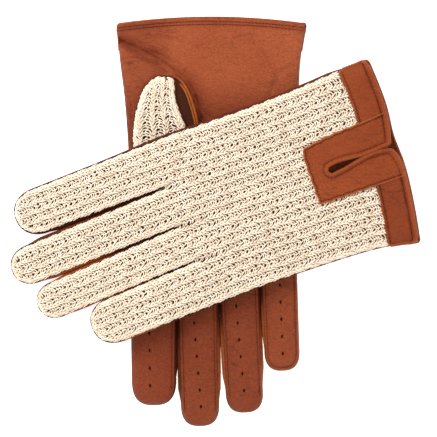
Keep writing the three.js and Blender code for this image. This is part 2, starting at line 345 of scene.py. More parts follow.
def leather_material(name, light, dark, worn_and_lit_tone, roughness):
    """Grained glove leather: mottled colour, pores, fine wrinkles with painted shade along them, worn edges
    (a painted lit tone on the side strips), and painted shade in its hollows and grooves.
    """
    tree = Tree(name)
    place = tree.place()
    mottle = tree.add("TexNoise", Vector=place, Scale=30.0, Detail=3.0, Roughness=0.5)
    colour = tree.ramp(mottle, dark, light, 0.25, 0.75)
    # worn edges of the leather; on the side strips this tone is painted light instead, for their lit outer
    # parts
    colour = tree.mix(tree.add("Attribute", "Fac", attribute_name="wear"), colour, (*worn_and_lit_tone, 1))
    # painted shade: the colour goes towards a deep brown by the vertex attribute of painted shade, in
    # hollows, creases, grooves and slits
    painted_shading_colour = (dark[0] * 0.30, dark[1] * 0.10, 0, 1)
    colour = tree.mix(tree.add("Attribute", "Fac", attribute_name="shade"), colour, painted_shading_colour)
    speckle = tree.add("TexNoise", Vector=place, Scale=950.0, Detail=2.0, Roughness=0.6)
    colour = tree.mix(0.6, colour, tree.remap(speckle, 0.3, 0.7, 0.70, 1.25), "MULTIPLY")
    stretched = tree.add("Mapping", Vector=place, Rotation=(0, 0, 0.45), Scale=(0.55, 1.7, 1))
    # painted shade along fine wrinkles: thin dark lines where a stretched noise crosses its middle, in
    # patches
    flow = tree.add("TexNoise", Vector=stretched, Scale=150.0, Detail=1.5, Roughness=0.5, Distortion=0.9)
    ridge = tree.math("ABSOLUTE", tree.math("SUBTRACT", flow, 0.5))
    wrinkle = tree.remap(ridge, 0.0, 0.035, WRINKLE_PAINTED_SHADING, 1.0)
    where = tree.remap(tree.add("TexNoise", Vector=place, Scale=24.0, Detail=2.0), 0.40, 0.62, 0.0, 1.0)
    colour = tree.mix(where, colour, wrinkle, "MULTIPLY")
    cells = tree.add("TexVoronoi", Vector=place, Scale=1100.0, feature="DISTANCE_TO_EDGE")
    crease = tree.add("TexNoise", Vector=stretched, Scale=260.0, Detail=5.0, Roughness=0.72, Distortion=0.6)
    height = tree.math("MULTIPLY_ADD", tree.math("MINIMUM", cells, 0.14), 2.0, crease)
    return tree.surface(
        Base_Color=colour, Normal=tree.add("Bump", Height=height, Strength=1.0, Distance=0.0009),
        Roughness=tree.remap(mottle, 0.0, 1.0, roughness - 0.08, roughness + 0.12),
        Specular_IOR_Level=0.17)


def yarn_material():
    """Matt cotton yarn, its tone varying in patches between warmer and paler, with faint fibres."""
    tree = Tree("crochet_yarn")
    place = tree.place()
    tone = tree.add("TexNoise", Vector=place, Scale=220.0, Detail=3.0, Roughness=0.6)
    fibre = tree.add("TexNoise", Vector=place, Scale=2600.0, Detail=3.0, Roughness=0.7)
    return tree.surface(
        Base_Color=tree.ramp(tone, (0.75, 0.61, 0.46), (0.92, 0.79, 0.64), 0.32, 0.62),
        Normal=tree.add("Bump", Height=fibre, Strength=0.45, Distance=0.00025),
        Roughness=0.92, Specular_IOR_Level=0.15, Sheen_Weight=0.10, Sheen_Roughness=0.6)


def thread_material(name, colour):
    tree = Tree(name)
    twist = tree.add("TexNoise", Vector=tree.place(), Scale=1800.0, Detail=2.0)
    dark, light = ([min(1, c * k) for c in colour] for k in (0.6, 1.3))
    return tree.surface(Base_Color=tree.ramp(twist, dark, light), Roughness=0.7, Specular_IOR_Level=0.1)


# each leather: its light and its dark tone, its tone where it is worn (for the side leather, the painted lit
# tone of its strips' outer parts), and its roughness
LEATHER_PALM = leather_material(
    "palm_leather", (0.415, 0.094, 0.031), (0.326, 0.064, 0.019), (0.36, 0.085, 0.020), 0.42)
LEATHER_TRIM = leather_material(
    "trim_leather", (0.332, 0.063, 0.0145), (0.268, 0.046, 0.009), (0.52, 0.150, 0.034), 0.46)
LEATHER_EDGE = leather_material(
    "rolled_leather", (0.355, 0.076, 0.016), (0.29, 0.054, 0.011), (0.40, 0.11, 0.03), 0.42)
LEATHER_RIM = leather_material(
    "rim_leather", (0.50, 0.125, 0.022), (0.38, 0.080, 0.014), (0.40, 0.11, 0.03), 0.42)
# side leather: the leather's own colour darkened with painted shade, as its strips lie in the slits and under
# the folded thumb; its worn tone is the painted lit tone of the strips' outer parts
LEATHER_SIDE = leather_material(
    "side_leather", (0.150, 0.026, 0.006), (0.100, 0.016, 0.003), (0.42, 0.095, 0.020), 0.6)
# near-black leather standing for shade: painted shade for the gusset under the folded thumb and for the
# sheets behind the perforations
LEATHER_SHADOW = leather_material(
    "shadow_sheet_leather", (0.080, 0.016, 0.003), (0.045, 0.009, 0.002), (0.2, 0.06, 0.02), 0.7)
YARN = yarn_material()
THREAD = thread_material("brown_thread", (0.060, 0.012, 0.004))


# ------------------------------------------------------------------ a glove's plan
class Field:
    """Distance in from an outline, kept on a grid so that many points can be looked up at once."""

    STEP = 1.0
    MARGIN = 6

    def __init__(self, outline, open_end=False):
        self.low = outline.min(0) - self.MARGIN
        count = np.ceil((outline.max(0) + self.MARGIN - self.low) / self.STEP).astype(int) + 1
        x, y = (self.low[k] + self.STEP * np.arange(count[k]) for k in range(2))
        grid = np.stack(np.meshgrid(x, y, indexing="ij"), axis=-1).reshape(-1, 2)
        distance = distance_to(grid, outline, closed=not open_end)
        distance[~inside(grid, outline)] *= -1
        field = distance.reshape(count)
        padded = np.pad(field, 1, mode="edge")
        around = padded[:-2, 1:-1] + padded[2:, 1:-1] + padded[1:-1, :-2] + padded[1:-1, 2:]
        self.table = (around + 4 * field) / 8

    def at(self, points):
        q = (np.asarray(points, float) - self.low) / self.STEP
        q = np.clip(q, 0, np.array(self.table.shape) - 1.001)
        i = q.astype(int)
        f = q - i
        x, y = i[..., 0], i[..., 1]
        a = self.table[x, y] * (1 - f[..., 0]) + self.table[x + 1, y] * f[..., 0]
        b = self.table[x, y + 1] * (1 - f[..., 0]) + self.table[x + 1, y + 1] * f[..., 0]
        return a * (1 - f[..., 1]) + b * f[..., 1]

    def rise(self, points, roll):
        """0 at the outline and 1 well inside, like the side of something puffed."""
        d = np.clip(self.at(points) / roll, 0, 1)
        return np.sqrt(np.maximum(0, 1 - (1 - d) ** 2))


class Glove:
    """One glove's outline, and the way from its plan to its place in the pair."""

    def __init__(self, name):
        spec = GLOVES[name]
        self.name = name
        self.upper = name == "left"
        self.bend = spec["bend"]
        self.fingers = [dict(zip(FINGER_KEYS, row)) for row in spec["fingers"]]
        for finger in self.fingers:
            start = self.bent(finger["root"], finger["fork"] - ROOT_OVERLAP)
            finger["start"] = np.array(start)
            finger["angle"] = math.radians(finger["lean"]) + math.atan(2 * self.bend * finger["fork"])
            finger["length"] = finger["tip"] - start[1]
            finger["hinge"] = finger["bends"] - start[1]
        self.base = np.array(JOINTS[f"{name}_thumb_swing"]["pos_m"][:2]) / MM
        self.turn = math.radians(LEFT_TURN if self.upper else 180)
        self.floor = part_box(f"{name}_palm_leather")[0].z / MM if self.upper else 0.0
        self.thumb_edge = spline([self.bent(x, y) for x, y in THUMB_EDGE])
        self.little_edge = spline([self.bent(x, y) for x, y in spec["little_edge"]])
        self.make_outline()

    def bent(self, x, y):
        return (x - self.bend * y * y, y)

    @staticmethod
    def from_finger(finger, x, y):
        c, s = math.cos(finger["angle"]), math.sin(finger["angle"])
        start = finger["start"]
        return np.stack([start[0] + c * x - s * y, start[1] + s * x + c * y], axis=-1)

    @staticmethod
    def to_finger(finger, points):
        c, s = math.cos(finger["angle"]), math.sin(finger["angle"])
        d = points - finger["start"]
        return np.stack([c * d[..., 0] + s * d[..., 1], -s * d[..., 0] + c * d[..., 1]], axis=-1)

    @staticmethod
    def half_width(finger, y):
        return finger["half"] * (1 - FINGER_TAPER * y / finger["length"])

    def finger_gap(self, index):
        """Width of the slit beside finger index on its little side, at heights along the finger."""
        edges = []
        for finger, side in ((self.fingers[index], -1), (self.fingers[index + 1], 1)):
            y = np.arange(0, finger["length"], 2.0)
            edges.append((y, self.from_finger(finger, side * self.half_width(finger, y), y)))
        return edges[0][0], distance_to(edges[0][1], edges[1][1])

    def side_grow(self, index, side, kind, y):
        """How far a finger's side stands out from the CAD outline at heights y along it."""
        grow = GROW[self.name][kind][index][0 if side > 0 else 1]
        if grow != FILL:
            return np.full(np.shape(y), grow)
        heights, gap = self.finger_gap(index - 1 if side > 0 else index)
        length = self.fingers[index]["length"]
        fill = np.clip(gap / 2 + 0.08, -0.3, 1.9) * (1 - smooth(gap, 4.0, 7))
        fill = np.convolve(np.pad(fill, 3, mode="edge"), np.ones(7) / 7, mode="valid")
        return np.interp(y, heights, fill) * (1 - smooth(y, length - 24, length - 10))

    def finger_edge(self, index, low_right, low_left, kind):
        """A finger's outline from its thumb side, over the tip, to its little side."""
        finger = self.fingers[index]
        cap = finger["half"] * CAP_SHARE
        shoulder = finger["length"] - cap
        up = np.arange(low_right, shoulder, 1.0)
        down = np.arange(low_left, shoulder, 1.0)[::-1]
        angle = np.linspace(0, math.pi, 40)
        cos, sin = np.cos(angle), np.sin(angle)
        share = (1 - cos) / 2
        grow_right = self.side_grow(index, 1, kind, up)
        grow_left = self.side_grow(index, -1, kind, down)
        grow = grow_right[-1] * (1 - share) + grow_left[0] * share
        power = TIP_POWER[self.name]
        arc_x = np.sign(cos) * np.abs(cos) ** power * (self.half_width(finger, shoulder) + grow)
        arc_y = shoulder + (cap + 0.5 * grow) * sin ** power
        x = np.r_[self.half_width(finger, up) + grow_right, arc_x, -self.half_width(finger, down) - grow_left]
        return self.from_finger(finger, x, np.r_[up, arc_y, down])

    def make_edges(self, kind):
        """Both long edges and all fingers, from the cuff's thumb end round to its little end."""
        at_side, above_fork = 4.0, ROOT_OVERLAP + 1.2
        fringe = PALM_FRINGE if (kind == "palm" and self.upper) else 0.0
        side = self.thumb_edge[self.thumb_edge[:, 1] < self.fingers[0]["fork"] - ROOT_OVERLAP]
        side = side + np.stack([fringe * smooth(side[:, 1], 14, 30), np.zeros(len(side))], axis=1)
        runs = [(side, 0)]
        for i in range(4):
            edge = self.finger_edge(i, at_side if i == 0 else above_fork,
                                    at_side if i == 3 else above_fork, kind)
            if i == 0:
                y = self.to_finger(self.fingers[0], edge)[:, 1]
                rising = np.arange(len(edge)) < len(edge) / 2
                thinner = (fringe - 0.3 * (fringe > 0)) * (1 - smooth(y, 10, 60))
                edge[:, 0] += np.where(rising, thinner, 0)
            runs.append((edge, i))
            if i < 3:
                after = self.finger_edge(i + 1, above_fork, at_side, kind)[0]
                runs.append((np.array([(edge[-1] + after) / 2 - (0, FORK_DROP)]), i))
        runs.append((self.little_edge[self.little_edge[:, 1] < self.fingers[3]["fork"] - 12], 3))
        part = np.concatenate([np.full(len(points), i) for points, i in runs])
        return np.concatenate([points for points, _ in runs]), part

    def make_outline(self):
        self.back_sides, self.part = self.make_edges("back")
        self.palm_sides, _ = self.make_edges("palm")
        self.forks = np.array([self.back_sides[self.part == i][-1] for i in range(3)])
        a, b = self.back_sides[-1], self.back_sides[0]
        share = np.linspace(0, 1, 70)[1:-1]
        x = a[0] + (b[0] - a[0]) * share
        sag = CUFF_SAG * (2 * share - 1) ** 2 + self.upper * CUFF_DENT * hump(x - DENT_X, DENT_REACH)
        self.cuff = np.stack([x, sag], axis=1)
        self.cuff_ends = np.vstack([a, self.cuff, b])
        self.palm_outline = np.concatenate([self.palm_sides, self.cuff - (0, self.upper * PALM_LIP)])
        self.back_field = self.make_field(self.back_sides)
        self.palm_field = self.make_field(self.palm_sides)

    @staticmethod
    def make_field(sides):
        below = -16.0
        mouth = [(sides[0][0] + 0.2, below)], [(sides[-1][0] - 0.2, below)]
        return Field(np.concatenate([mouth[0], sides, mouth[1]]), open_end=True)

    def cuff_line(self, x):
        """Height of the cuff's edge at x."""
        return np.interp(x, self.cuff_ends[:, 0], self.cuff_ends[:, 1])

    def back(self, points):
        """Height of the glove's back: the crochet's upper face."""
        rise = self.back_field.rise(points, ROLL)
        x, y = points[..., 0], points[..., 1]
        wave = np.sin(x / 13.0 + 0.6 * np.sin(y / 31.0)) * np.sin(y / 24.0 + 1.1)
        top = DEPTH if self.upper else DEPTH - FLAT_BACK - FLAT_CUFF * (1 - smooth(y, 55, 75))
        return BACK_SEAM + (top - BACK_SEAM) * rise + 0.3 * wave * rise

    def palm(self, points):
        """Height of the palm leather's outer face."""
        return PALM_SEAM * (1 - self.palm_field.rise(points, ROLL))

    def droop(self, finger, p, w):
        """Turn the part of an upper glove's finger past its fold line down a little."""
        q = self.to_finger(finger, p)
        over = q[..., 1] - finger["hinge"]
        turn = FINGER_DROOP * smooth(over, -10, 10)
        arm = w - DEPTH
        y = finger["hinge"] + over * np.cos(turn) + arm * np.sin(turn)
        return self.from_finger(finger, q[..., 0], y), DEPTH - over * np.sin(turn) + arm * np.cos(turn)

    def place(self, points, w, finger=None):
        """Plan points and heights to world metres. The upper glove settles a little where it can."""
        p = np.asarray(points, float)
        w = np.asarray(w, float)
        if self.upper:
            settle = CUFF_SETTLE * (1 - smooth(p[..., 1], 0, 42)) + LITTLE_SETTLE * smooth(-p[..., 0], 18, 56)
            w = w - settle * smooth(170 - p[..., 1], 0, 60)
            if finger is not None:
                p, w = self.droop(finger, p, w)
        c, s = math.cos(self.turn), math.sin(self.turn)
        d = p - np.array(THUMB_PIVOT)
        z = self.floor + w if self.upper else DEPTH - w
        x = self.base[0] + c * d[..., 0] - s * d[..., 1]
        y = self.base[1] + s * d[..., 0] + c * d[..., 1]
        return np.stack([x, y, z], axis=-1) * MM

    def facing(self, triangles, to_back):
        """Triangles turned so that they face the glove's back, or its palm."""
        return triangles if self.upper == to_back else triangles[:, ::-1]

    def row_point(self, index, rho, t):
        """Plan point in crochet row rho of a finger's strip, at height t up the glove."""
        finger = self.fingers[index]
        y = t - finger["start"][1]
        half = self.half_width(finger, np.clip(y, 0, finger["length"]))
        in_finger = self.from_finger(finger, half * (1 - 2 * rho / finger["rows"]), y)
        before = sum(f["rows"] for f in self.fingers[:index])
        total = sum(f["rows"] for f in self.fingers)
        right = np.interp(t, self.thumb_edge[:, 1], self.thumb_edge[:, 0])
        left = np.interp(t, self.little_edge[::-1, 1], self.little_edge[::-1, 0])
        in_hand = np.stack([right + (left - right) * (before + rho) / total, t], axis=-1)
        part = smooth(t, finger["fork"] - 26, finger["fork"] - 2)[..., None]
        return in_hand * (1 - part) + in_finger * part

    def fold_line(self, finger, reach):
        """World points just below and above the line that a finger folds on."""
        ends = self.from_finger(finger, np.zeros(2), finger["hinge"] + np.array([-reach, reach]))
        return self.place(ends, np.full(2, DEPTH / 2), finger)


def sew(piece, glove, replaces=(), finger=None, body="hand"):
    """Hide the CAD nodes that a piece stands for, and hang a piece that is not a finger's on the body it
    moves with.
    A finger's piece is only baked into its world place."""
    if replaces:
        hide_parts(*replaces)
    if finger is None:
        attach(piece, f"{glove.name}_{body}")
        return
    start, end = glove.fold_line(finger, FOLD_REACH)
    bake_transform(piece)


# ------------------------------------------------------------------ leather panels
def hex_points(polygon, step):
    """A triangular grid of points over a polygon's box."""
    low, high = polygon.min(0), polygon.max(0)
    rows = []
    for k, y in enumerate(np.arange(low[1], high[1], step * 0.866)):
        x = np.arange(low[0] + (k % 2) * step / 2, high[0], step)
        rows.append(np.stack([x, np.full(len(x), y)], axis=1))
    return np.concatenate(rows)


def signed_area(a, b, c):
    """Twice the area of triangles, positive where they turn to the left."""
    ab, ac = b - a, c - a
    return ab[..., 0] * ac[..., 1] - ab[..., 1] * ac[..., 0]


def triangulate(polygon, holes=(), step=1.6, rims=(0.5, 1.1, 2.0), lines=()):
    """A triangle mesh of a flat region, finest by its edges. Returns plan points and triangles."""
    rings = [np.asarray(ring, float) for ring in (polygon, *holes)]
    edges = []
    count = 0
    for ring in rings:
        n = len(ring)
        edges += [(count + k, count + (k + 1) % n) for k in range(n)]
        count += n
    outer, nxt = rings[0], np.roll(rings[0], -1, axis=0)
    along = nxt - np.roll(outer, 1, axis=0)
    along /= np.linalg.norm(along, axis=1, keepdims=True) + 1e-9
    area = np.sum(outer[:, 0] * nxt[:, 1] - nxt[:, 0] * outer[:, 1])
    inward = np.stack([-along[:, 1], along[:, 0]], axis=1) * (1 if area > 0 else -1)
    extra = np.concatenate([hex_points(outer, step), *(outer + inward * rim for rim in rims), *lines])
    keep = inside(extra, outer) & (distance_to(extra, outer, closed=True) > min(rims) * 0.8)
    for hole in rings[1:]:
        keep &= ~inside(extra, hole) & (distance_to(extra, hole, closed=True) > 0.25)
    extra = extra[keep]
    _, unique = np.unique(np.round(extra / (step * 0.3)).astype(int), axis=0, return_index=True)
    everything = np.concatenate([*rings, extra[np.sort(unique)]])
    result = delaunay_2d_cdt([Vector(p) for p in everything], edges, [], 0, 1e-5)
    plan = np.array([tuple(p) for p in result[0]])
    triangles = np.array([f for f in result[2] if len(f) == 3])
    middle = plan[triangles].mean(1)
    keep = inside(middle, outer)
    for hole in rings[1:]:
        keep &= ~inside(middle, hole)
    triangles = triangles[keep]
    turned = signed_area(*(plan[triangles[:, k]] for k in range(3))) < 0
    triangles[turned] = triangles[turned][:, ::-1]
    return plan, triangles


def grid_triangles(length, rows):
    """Two triangles for each cell of a grid of points, length by rows."""
    a = (np.arange(length - 1)[:, None] * rows + np.arange(rows - 1)[None]).ravel()
    return np.concatenate([np.stack([a, a + rows, a + rows + 1], 1), np.stack([a, a + rows + 1, a + 1], 1)])


def vertex_normals(verts, triangles):
    a, b, c = (verts[triangles[:, k]] for k in range(3))
    face = np.cross(b - a, c - a)
    total = np.zeros_like(verts)
    for k in range(3):
        np.add.at(total, triangles[:, k], face)
    return total / (np.linalg.norm(total, axis=1, keepdims=True) + 1e-20)


def thick_piece(name, verts, triangles, thickness, material, normals=None, wear=None, shade=None):
    """A skin with real thickness: outer face, inner face and the cut edge between them."""
    used, index = np.unique(triangles, return_inverse=True)
    triangles = index.reshape(-1, 3)
    verts = verts[used]
    normals = vertex_normals(verts, triangles) if normals is None else normals[used]
    n = len(verts)
    sides = np.concatenate([triangles[:, [0, 1]], triangles[:, [1, 2]], triangles[:, [2, 0]]])
    keys = {(a, b) for a, b in sides}
    border = np.array([(a, b) for a, b in sides if (b, a) not in keys])
    quads = np.stack([border[:, 1], border[:, 0], border[:, 0] + n, border[:, 1] + n], axis=1)
    both = np.concatenate([verts, verts - normals * thickness * MM])
    piece = mesh_object(name, both, [triangles, triangles[:, ::-1] + n, quads], material)
    for label, outer in (("wear", wear), ("shade", shade)):
        values = np.zeros(2 * n) if outer is None else np.r_[outer[used], outer[used]]
        attribute = piece.data.attributes.new(label, "FLOAT", "POINT")
        attribute.data.foreach_set("value", values.astype(np.float32))
    return piece


def panel(glove, name, surface, thickness, material, slot, to_back=False, replaces=(), finger=None,
          body="hand", **tones):
    """A leather panel over a surface: plan points, heights and triangles."""
    plan, w, triangles = surface
    piece = thick_piece(f"{glove.name}_{name}", glove.place(plan, w, finger),
                        glove.facing(triangles, to_back), thickness, material, **tones)
    sew(piece, glove, replaces, finger, body)


# ------------------------------------------------------------------ crochet
ROW = 5.7             # pitch of the crochet's ribs
CHAIN = 2.13          # pitch of the chain stitches on a rib
CLUSTER = 8.54        # length of the pattern in the valley between two ribs
EDGE_CHAIN = 2.35     # pitch of the chain stitches along an edge
RIB_YARN = 0.50       # radius of the yarn on a rib, in its core, across a valley and along it
CORE_YARN = 0.85
VALLEY_YARN = 0.39
WAVE_YARN = 0.38
EDGE_YARN = 0.47
THUMB_EDGE_YARN = 0.62
RIB_WANDER = 0.05     # how far a rib swings to each side, in rows
EDGE_INSET = 1.25
SCALLOP = 0.22        # how far the edge chain waves in and out
FORK_REACH = 4.5      # strands this near to a slit's bottom may lie just outside the edge
THUMB_ROWS = 4
THUMB_START, THUMB_END = 34, 112

# Each strand's points: along the rib, across it, and height above the crochet's face.
RIB_LEG = [(-0.3, 1.20, -1.3), (0.5, 1.00, -0.42), (1.5, 0.52, -0.02), (2.45, 0.06, -1.1)]
RIB_CORE = [(0.0, 0.0, -1.85), (1.1, 0.0, -1.8), (2.2, 0.0, -1.85)]
VALLEY_POSTS = [
    [(1.3, -2.0, -1.4), (0.5, -1.0, -1.15), (0.0, 0.1, -1.0), (0.6, 1.1, -1.15), (1.6, 2.0, -1.4)],
    [(2.8, -2.0, -1.4), (1.9, -0.9, -1.20), (1.4, 0.2, -1.1), (1.9, 1.1, -1.20), (2.8, 2.0, -1.4)],
    [(4.3, -2.0, -1.4), (3.4, -0.9, -1.20), (2.8, 0.2, -1.1), (3.2, 1.1, -1.20), (4.1, 2.0, -1.4)],
    [(6.3, -2.0, -1.4), (5.4, -1.0, -1.15), (4.9, 0.1, -1.0), (5.3, 1.1, -1.15), (6.2, 2.0, -1.4)],
    [(7.7, -2.0, -1.4), (6.8, -1.0, -1.20), (6.3, 0.0, -1.1), (6.6, 1.0, -1.20), (7.4, 2.0, -1.4)],
]
VALLEY_WAVES = [
    [(-0.6, -0.1, -1.3), (0.4, 0.55, -0.85), (1.5, 0.1, -1.0), (2.6, -0.55, -1.1), (3.8, -0.2, -1.2)],
    [(3.4, -0.5, -1.2), (4.6, 0.45, -0.9), (5.6, 0.55, -1.0), (6.8, -0.2, -1.1), (8.2, -0.5, -1.3)],
]
EDGE_LEGS = [
    [(-0.3, 0.75, -0.9), (0.7, 0.62, -0.30), (1.7, 0.3, -0.10), (2.7, 0.1, -0.8)],
    [(-0.3, -0.75, -0.9), (0.7, -0.6, -0.30), (1.7, -0.3, -0.10), (2.7, -0.05, -0.8)],
    [(0.2, 0.2, -1.2), (1.0, 1.3, -1.1), (1.9, 2.1, -1.2)],
]


class Strands:
    """Yarn strands gathered for one net: plan curves, heights and radii, each of count points.
    row_point(rho, t) gives the plan point in row rho at height t."""

    def __init__(self, count, row_point=None):
        self.count = count
        self.row_point = row_point
        self.parts = []

    def copies(self, pattern, starts, spread):
        """Copies of one strand at every start, as along, across and height, with jitter."""
        fine = spline(pattern, step=0.08)
        lengths = path_lengths(fine)
        shape = at_lengths(fine, lengths, np.linspace(0, lengths[-1], self.count))
        copies = np.repeat(shape[None], len(starts), axis=0)
        copies[..., :2] += rng.normal(0, spread, (len(starts), 1, 2))
        copies[..., 2] += rng.normal(0, spread * 0.6, (len(starts), 1))
        return copies

    def add(self, plan, height, radius):
        self.parts.append((plan, height, np.full(len(plan), radius)))

    def lay(self, pattern, rho, t, spread, radius, side=1):
        shape = self.copies(pattern, t, spread)
        across = rho[:, None] + side * shape[..., 1] / ROW
        self.add(self.row_point(across, t[:, None] + shape[..., 0]), shape[..., 2], radius)

    def rib(self, row, t, phase, core=True):
        """A chain of stitches along the middle of a row, over a thick core."""
        rho = row + 0.5 + RIB_WANDER * np.sin(2 * np.pi * t / CLUSTER + phase)
        for side in (-1, 1):
            self.lay(RIB_LEG, rho, t, 0.09, RIB_YARN, side)
        if core:
            self.lay(RIB_CORE, rho, t, 0.03, CORE_YARN)

    def valley(self, row, t, spreads, radii):
        """The open stitches between two rows: posts across, then waves along."""
        rho = np.full(len(t), float(row))
        for patterns, spread, radius in zip((VALLEY_POSTS, VALLEY_WAVES), spreads, radii):
            for pattern in patterns:
                self.lay(pattern, rho, t, spread, radius)

    def edge(self, outline, inset, scallop, waves, radius):
        """The chain worked along an outline, waving in and out of it."""
        inward = leftward(outline)
        wave = np.sin(np.arange(len(outline)) * np.pi / CLUSTER * waves)[:, None]
        path = outline + inward * (inset + scallop * wave)
        lengths = path_lengths(path)
        starts = np.arange(0.2, lengths[-1] - 2.6, EDGE_CHAIN)
        for pattern in EDGE_LEGS:
            shape = self.copies(pattern, starts, 0.1)
            s = starts[:, None] + shape[..., 0]
            plan = at_lengths(path, lengths, s) + at_lengths(inward, lengths, s) * shape[..., 1:2]
            self.add(plan, shape[..., 2], radius)

    def joined(self):
        return tuple(np.concatenate([part[k] for part in self.parts]) for k in range(3))

    def drop(self, unwanted):
        """Keep only the strands that unwanted(plan) doesn't name."""
        plan, height, radius = self.joined()
        keep = ~unwanted(plan)
        self.parts = [(plan[keep], height[keep], radius[keep])]


def under_band(glove, plan):
    """Which strands start lower than just under the cuff band's inner edge."""
    return ~(plan[..., 1].min(1) > glove.cuff_line(plan[..., 0].mean(1)) + BAND_WIDTH - 1.2)


def strip_strands(glove, index, count, core):
    """Ribs and valleys of one finger's strip, from the cuff band to the fingertip."""
    finger = glove.fingers[index]
    low, high = BAND_WIDTH - 3.0, finger["start"][1] + finger["length"]
    strands = Strands(count, lambda rho, t: glove.row_point(index, rho, t))
    for row in range(finger["rows"]):
        t = np.arange(low + 0.9 * rng.random(), high, CHAIN)
        strands.rib(row, t, np.pi * row + 0.4 * rng.random(), core)
    for row in range(1, finger["rows"] + (index < 3)):
        top = finger["fork"] + 1 if row == finger["rows"] else high
        t = np.arange(low + CLUSTER * (row * 0.5 % 1) + 0.6 * rng.random(), top, CLUSTER)
        strands.valley(row, t, (0.13, 0.16), (VALLEY_YARN, WAVE_YARN))

    def unwanted(plan):
        middle = plan.mean(1)
        to_fork = np.linalg.norm(middle[:, None] - glove.forks[None], axis=-1).min(1)
        margin = glove.back_field.at(plan).min(1)
        outside = ~(margin > np.where(to_fork < FORK_REACH, -0.6, 1.0))
        patch = np.array(PATCH, float)
        covered = inside(middle, patch) & (distance_to(middle, patch, closed=True) > 1.5)
        return outside | covered | under_band(glove, plan)
    strands.drop(unwanted)
    return strands


def edge_strands(glove, index, count):
    """The chain worked round the outer edge of one finger's strip."""
    line = glove.back_sides[glove.part == index]
    if index < 3:
        line = line[:-1]
    gaps = np.linalg.norm(np.diff(line, axis=0), axis=1) > 12
    strands = Strands(count)
    for run in np.split(line, np.where(gaps)[0] + 1):
        if len(run) > 3:
            first, last = run[0] + (run[0] - run[2]) * 0.75, run[-1] + (run[-1] - run[-3]) * 1.25
            strands.edge(resample(np.vstack([first, run, last]), 0.5), EDGE_INSET, SCALLOP, 1.0, EDGE_YARN)
    strands.drop(lambda plan: under_band(glove, plan))
    return strands


def crochet_back(glove):
    """The cotton back: one net of yarn for each finger's strip, running on down to the cuff band."""
    count, sides = (5, 5) if glove.upper else (4, 4)
    for index, finger in enumerate(glove.fingers):
        groups = [strip_strands(glove, index, count, glove.upper), edge_strands(glove, index, count)]
        plan, height, radius = (np.concatenate(both) for both in zip(*(g.joined() for g in groups)))
        curves = glove.place(plan, glove.back(plan) + height, finger)
        net = tubes(f"{glove.name}_{finger['name']}_crochet_net", curves, radius[:, None], sides, YARN)
        sew(net, glove,
            (f"{glove.name}_crochet_back", f"{glove.name}_{finger['name']}_crochet"), finger)


# ------------------------------------------------------------------ palm leather and side strips
# how many, across the finger at the first and at the last, height of the first, pitch
PERFORATIONS = {
    "index": (4, 2.4, 2.0, 189.1, 10.6), "middle": (6, 2.4, -0.6, 183.1, 10.1),
    "ring": (6, 2.5, 0.2, 172.9, 10.2), "little": (5, -0.2, -0.4, 160.3, 10.35),
}
HOLE_SIZE = (0.62, 1.1)


def ellipse(centre, rx, ry, count=14, turn=0.0):
    angle = 2 * np.pi * np.arange(count) / count
    x, y = rx * np.cos(angle), ry * np.sin(angle)
    c, s = math.cos(turn), math.sin(turn)
    return np.stack([centre[0] + c * x - s * y, centre[1] + s * x + c * y], axis=1)


def perforation_rings(glove):
    rings = []
    for finger in glove.fingers:
        number, across, across_last, first, pitch = PERFORATIONS[finger["name"]]
        for k in range(number):
            y = first - finger["start"][1] + k * pitch
            x = across + (across_last - across) * k / (number - 1)
            rings.append(ellipse(glove.from_finger(finger, x, y), *HOLE_SIZE, turn=finger["angle"]))
    return rings


# Creases of the palm: the line of each, how far its hollow reaches, its depth.
CREASES = [
    ([(56, 13), (44, 18), (31, 25), (23, 31)], 1.9, 0.9),
    ([(54, 24), (43, 24), (34, 28), (27, 33)], 1.1, 0.6),
    ([(51, 19.5), (37, 20), (25, 25), (15, 33)], 1.0, 0.5),
    ([(50, 29), (44, 30), (38, 33)], 0.8, 0.45),
    ([(36, 14), (28, 19), (19, 29)], 0.8, 0.35),
    ([(48, 34), (43, 37), (40, 41)], 0.9, 0.5),
    ([(55, 44), (50.5, 48), (48.5, 56)], 0.9, 0.5),
    ([(53, 62), (50.4, 64), (49.6, 72)], 0.9, 0.5),
    ([(52, 52), (50, 55), (49, 60)], 0.7, 0.4),
    ([(21, 32), (15, 37.5), (10.4, 46), (8.0, 55), (6.8, 64)], 1.5, 1.1),
    ([(10.5, 47), (6, 55), (0, 60), (-9, 62), (-16, 60)], 1.0, 0.5),
    ([(8, 56), (3, 64), (-6, 69), (-14, 70)], 1.2, 0.6),
    ([(40, 10), (20, 13), (0, 20), (-14, 28)], 2.8, 0.4),
    ([(-18, 10), (-30, 20), (-40, 40)], 2.6, 0.35),
    ([(-48, 28), (-40, 33), (-34, 46)], 1.6, 0.35),
]
MAIN_FOLD = [(58, 12), (47, 16), (35, 22), (24, 30), (14, 38), (7, 50), (5, 64)]
SECOND_FOLD = [(56, 13), (43, 23), (30, 33)]
HEM_LINES = (2.1, 3.8)
SEAM_INSET = 1.75     # how far in from a finger's edge its palm seam is stitched
SEAM_EDGE = 0.7       # and how far in the leather bends down beyond that seam


